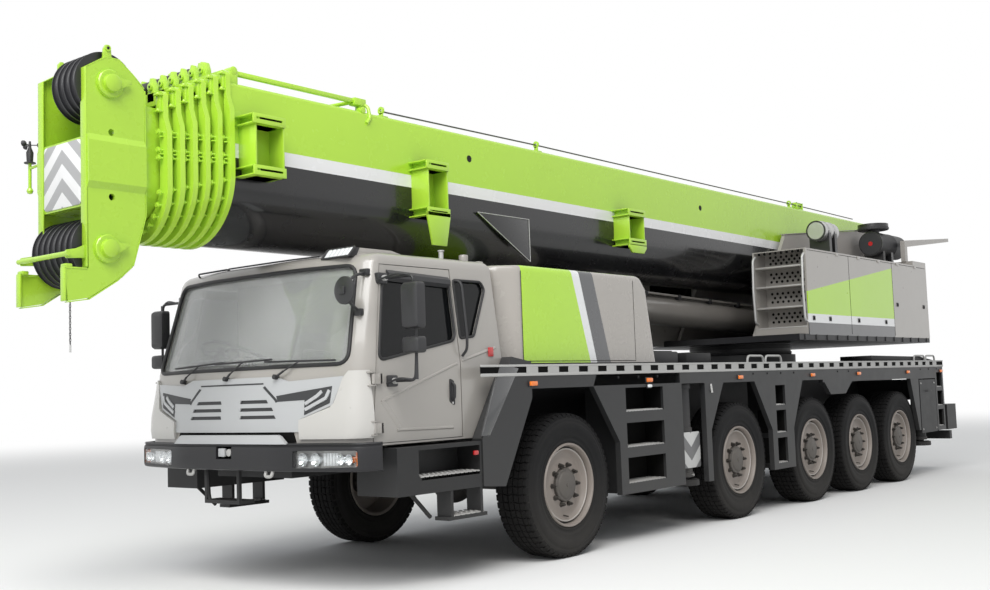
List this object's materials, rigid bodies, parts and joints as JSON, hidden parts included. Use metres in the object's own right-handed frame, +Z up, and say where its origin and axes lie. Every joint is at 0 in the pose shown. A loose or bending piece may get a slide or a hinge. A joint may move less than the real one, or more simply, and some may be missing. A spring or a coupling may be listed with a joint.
{
  "type": "mobile crane",
  "caption": "Truck crane with a telescoping boom lowered over its cab, steered front axles, slewing superstructure and outriggers.",
  "frame": {"origin": "on the ground under the middle of the bounding box", "axes": "+X forwards along the boom, +Y to the driver's left, +Z up"},
  "size_m": [15.9, 3.49, 4.275],
  "materials": {
    "tyre_rubber": "matt, dusty",
    "wheel_grey": "satin",
    "chassis_dark": "satin",
    "axle_black": "satin",
    "cab_grey": "gloss",
    "cab_trim": "grained",
    "clear_glass": "clear",
    "enclosure_green": "gloss",
    "engine_iron": "painted",
    "boom_green": "gloss",
    "sheave_black": "moulded",
    "cylinder_grey": "satin",
    "rod_chrome": "polished",
    "jack_grey": "satin"
  },
  "bodies": {
    "chassis": {"chassis_frame": "chassis_dark", "deck_and_skirts": "chassis_dark", "steps_and_boxes": "chassis_dark", "bumper": "chassis_dark", "cab_shell": "cab_grey", "cab_glass": "clear_glass", "cab_interior": "cab_trim", "equipment_enclosure": "enclosure_green", "engine": "engine_iron", "axles": "axle_black"},
    "knuckle_1_left": {"knuckle_1_left": "axle_black"},
    "wheel_1_left": {"tyre_1_left": "tyre_rubber", "rim_1_left": "wheel_grey"},
    "knuckle_1_right": {"knuckle_1_right": "axle_black"},
    "wheel_1_right": {"tyre_1_right": "tyre_rubber", "rim_1_right": "wheel_grey"},
    "knuckle_2_left": {"knuckle_2_left": "axle_black"},
    "wheel_2_left": {"tyre_2_left": "tyre_rubber", "rim_2_left": "wheel_grey"},
    "knuckle_2_right": {"knuckle_2_right": "axle_black"},
    "wheel_2_right": {"tyre_2_right": "tyre_rubber", "rim_2_right": "wheel_grey"},
    "wheel_3_left": {"tyre_3_left": "tyre_rubber", "rim_3_left": "wheel_grey"},
    "wheel_3_right": {"tyre_3_right": "tyre_rubber", "rim_3_right": "wheel_grey"},
    "wheel_4_left": {"tyre_4_left": "tyre_rubber", "rim_4_left": "wheel_grey"},
    "wheel_4_right": {"tyre_4_right": "tyre_rubber", "rim_4_right": "wheel_grey"},
    "wheel_5_left": {"tyre_5_left": "tyre_rubber", "rim_5_left": "wheel_grey"},
    "wheel_5_right": {"tyre_5_right": "tyre_rubber", "rim_5_right": "wheel_grey"},
    "cab_door_left": {"door_left": "cab_grey"},
    "cab_door_right": {"door_right": "cab_grey"},
    "outrigger_beam_front_left": {"outrigger_beam_front_left": "jack_grey"},
    "outrigger_leg_front_left": {"outrigger_leg_front_left": "jack_grey"},
    "outrigger_beam_front_right": {"outrigger_beam_front_right": "jack_grey"},
    "outrigger_leg_front_right": {"outrigger_leg_front_right": "jack_grey"},
    "outrigger_beam_rear_left": {"outrigger_beam_rear_left": "jack_grey"},
    "outrigger_leg_rear_left": {"outrigger_leg_rear_left": "jack_grey"},
    "outrigger_beam_rear_right": {"outrigger_beam_rear_right": "jack_grey"},
    "outrigger_leg_rear_right": {"outrigger_leg_rear_right": "jack_grey"},
    "superstructure": {"turntable": "chassis_dark", "machinery_housings": "cab_grey", "roof_fittings": "cylinder_grey", "operator_cab": "cab_grey"},
    "operator_door": {"operator_door": "cab_grey"},
    "winch": {"winch": "axle_black"},
    "boom_base": {"boom_section_1": "boom_green"},
    "lift_barrel": {"lift_barrel": "cylinder_grey"},
    "lift_rod": {"lift_rod": "rod_chrome"},
    "boom_section_2": {"boom_section_2": "boom_green"},
    "boom_section_3": {"boom_section_3": "boom_green"},
    "boom_section_4": {"boom_section_4": "boom_green"},
    "boom_section_5": {"boom_section_5": "boom_green"},
    "boom_section_6": {"boom_section_6": "boom_green"},
    "boom_top": {"boom_head": "boom_green", "head_sheaves": "sheave_black"}
  },
  "joints": [
    {"name": "steer_1_left", "type": "hinge", "parent": "chassis", "child": "knuckle_1_left", "pos_m": [3.55, 1, 0.66], "axis": [0, 0, 1], "range_deg": [-30, 30]},
    {"name": "roll_1_left", "type": "hinge", "parent": "knuckle_1_left", "child": "wheel_1_left", "pos_m": [3.55, 1.255, 0.66], "axis": [0, 1, 0], "continuous": true},
    {"name": "steer_1_right", "type": "hinge", "parent": "chassis", "child": "knuckle_1_right", "pos_m": [3.55, -1, 0.66], "axis": [0, 0, 1], "range_deg": [-30, 30]},
    {"name": "roll_1_right", "type": "hinge", "parent": "knuckle_1_right", "child": "wheel_1_right", "pos_m": [3.55, -1.255, 0.66], "axis": [0, 1, 0], "continuous": true},
    {"name": "steer_2_left", "type": "hinge", "parent": "chassis", "child": "knuckle_2_left", "pos_m": [0.23, 1, 0.66], "axis": [0, 0, 1], "range_deg": [-18, 18]},
    {"name": "roll_2_left", "type": "hinge", "parent": "knuckle_2_left", "child": "wheel_2_left", "pos_m": [0.23, 1.255, 0.66], "axis": [0, 1, 0], "continuous": true},
    {"name": "steer_2_right", "type": "hinge", "parent": "chassis", "child": "knuckle_2_right", "pos_m": [0.23, -1, 0.66], "axis": [0, 0, 1], "range_deg": [-18, 18]},
    {"name": "roll_2_right", "type": "hinge", "parent": "knuckle_2_right", "child": "wheel_2_right", "pos_m": [0.23, -1.255, 0.66], "axis": [0, 1, 0], "continuous": true},
    {"name": "roll_3_left", "type": "hinge", "parent": "chassis", "child": "wheel_3_left", "pos_m": [-1.78, 1.255, 0.66], "axis": [0, 1, 0], "continuous": true},
    {"name": "roll_3_right", "type": "hinge", "parent": "chassis", "child": "wheel_3_right", "pos_m": [-1.78, -1.255, 0.66], "axis": [0, 1, 0], "continuous": true},
    {"name": "roll_4_left", "type": "hinge", "parent": "chassis", "child": "wheel_4_left", "pos_m": [-3.285, 1.255, 0.66], "axis": [0, 1, 0], "continuous": true},
    {"name": "roll_4_right", "type": "hinge", "parent": "chassis", "child": "wheel_4_right", "pos_m": [-3.285, -1.255, 0.66], "axis": [0, 1, 0], "continuous": true},
    {"name": "roll_5_left", "type": "hinge", "parent": "chassis", "child": "wheel_5_left", "pos_m": [-4.79, 1.255, 0.66], "axis": [0, 1, 0], "continuous": true},
    {"name": "roll_5_right", "type": "hinge", "parent": "chassis", "child": "wheel_5_right", "pos_m": [-4.79, -1.255, 0.66], "axis": [0, 1, 0], "continuous": true},
    {"name": "cab_door_left", "type": "hinge", "parent": "chassis", "child": "cab_door_left", "pos_m": [6, 1.397, 1.45], "axis": [0, 0, -1], "range_deg": [0, 70]},
    {"name": "cab_door_right", "type": "hinge", "parent": "chassis", "child": "cab_door_right", "pos_m": [6, -1.397, 1.45], "axis": [0, 0, 1], "range_deg": [0, 70]},
    {"name": "extend_beam_front_left", "type": "slide", "parent": "chassis", "child": "outrigger_beam_front_left", "axis": [0, 1, 0], "range_m": [0, 2]},
    {"name": "lower_leg_front_left", "type": "slide", "parent": "outrigger_beam_front_left", "child": "outrigger_leg_front_left", "axis": [0, 0, -1], "range_m": [0, 0.65]},
    {"name": "extend_beam_front_right", "type": "slide", "parent": "chassis", "child": "outrigger_beam_front_right", "axis": [0, -1, 0], "range_m": [0, 2]},
    {"name": "lower_leg_front_right", "type": "slide", "parent": "outrigger_beam_front_right", "child": "outrigger_leg_front_right", "axis": [0, 0, -1], "range_m": [0, 0.65]},
    {"name": "extend_beam_rear_left", "type": "slide", "parent": "chassis", "child": "outrigger_beam_rear_left", "axis": [0, 1, 0], "range_m": [0, 2]},
    {"name": "lower_leg_rear_left", "type": "slide", "parent": "outrigger_beam_rear_left", "child": "outrigger_leg_rear_left", "axis": [0, 0, -1], "range_m": [0, 0.65]},
    {"name": "extend_beam_rear_right", "type": "slide", "parent": "chassis", "child": "outrigger_beam_rear_right", "axis": [0, -1, 0], "range_m": [0, 2]},
    {"name": "lower_leg_rear_right", "type": "slide", "parent": "outrigger_beam_rear_right", "child": "outrigger_leg_rear_right", "axis": [0, 0, -1], "range_m": [0, 0.65]},
    {"name": "slew", "type": "hinge", "parent": "chassis", "child": "superstructure", "pos_m": [-2.65, 0, 1.9], "axis": [0, 0, 1], "continuous": true},
    {"name": "operator_door", "type": "slide", "parent": "superstructure", "child": "operator_door", "axis": [-1, 0, 0], "range_m": [0, 0.85]},
    {"name": "winch_turn", "type": "hinge", "parent": "superstructure", "child": "winch", "pos_m": [-4.9, 0, 2.45], "axis": [0, 1, 0], "continuous": true},
    {"name": "boom_luff", "type": "hinge", "parent": "superstructure", "child": "boom_base", "pos_m": [-6.05, 0, 3.525], "axis": [0, -1, 0], "range_deg": [0, 80]},
    {"name": "lift_barrel_turn", "type": "hinge", "parent": "superstructure", "child": "lift_barrel", "pos_m": [-3.65, 0, 2.4], "axis": [0, -1, 0], "range_deg": [0, 89.57]},
    {"name": "lift_rod_stroke", "type": "slide", "parent": "lift_barrel", "child": "lift_rod", "axis": [0.9996, 0, 0.0289], "range_m": [0, 3.2446]},
    {"name": "telescope_2", "type": "slide", "parent": "boom_base", "child": "boom_section_2", "axis": [1, 0, 0], "range_m": [0, 9.3]},
    {"name": "telescope_3", "type": "slide", "parent": "boom_section_2", "child": "boom_section_3", "axis": [1, 0, 0], "range_m": [0, 9.3]},
    {"name": "telescope_4", "type": "slide", "parent": "boom_section_3", "child": "boom_section_4", "axis": [1, 0, 0], "range_m": [0, 9.3]},
    {"name": "telescope_5", "type": "slide", "parent": "boom_section_4", "child": "boom_section_5", "axis": [1, 0, 0], "range_m": [0, 9.3]},
    {"name": "telescope_6", "type": "slide", "parent": "boom_section_5", "child": "boom_section_6", "axis": [1, 0, 0], "range_m": [0, 9.3]},
    {"name": "telescope_7", "type": "slide", "parent": "boom_section_6", "child": "boom_top", "axis": [1, 0, 0], "range_m": [0, 9.3]}
  ],
  "couplings": [
    {"joint": "steer_1_right", "follows": "steer_1_left", "ratio": 1},
    {"joint": "steer_2_left", "follows": "steer_1_left", "ratio": 0.6},
    {"joint": "steer_2_right", "follows": "steer_1_left", "ratio": 0.6},
    {"joint": "lift_barrel_turn", "follows": "boom_luff", "ratio": 1.1195},
    {"joint": "lift_rod_stroke", "follows": "boom_luff", "m_per_rad": 2.3231},
    {"joint": "telescope_3", "follows": "telescope_2", "ratio": 1},
    {"joint": "telescope_4", "follows": "telescope_2", "ratio": 1},
    {"joint": "telescope_5", "follows": "telescope_2", "ratio": 1},
    {"joint": "telescope_6", "follows": "telescope_2", "ratio": 1},
    {"joint": "telescope_7", "follows": "telescope_2", "ratio": 1}
  ]
}
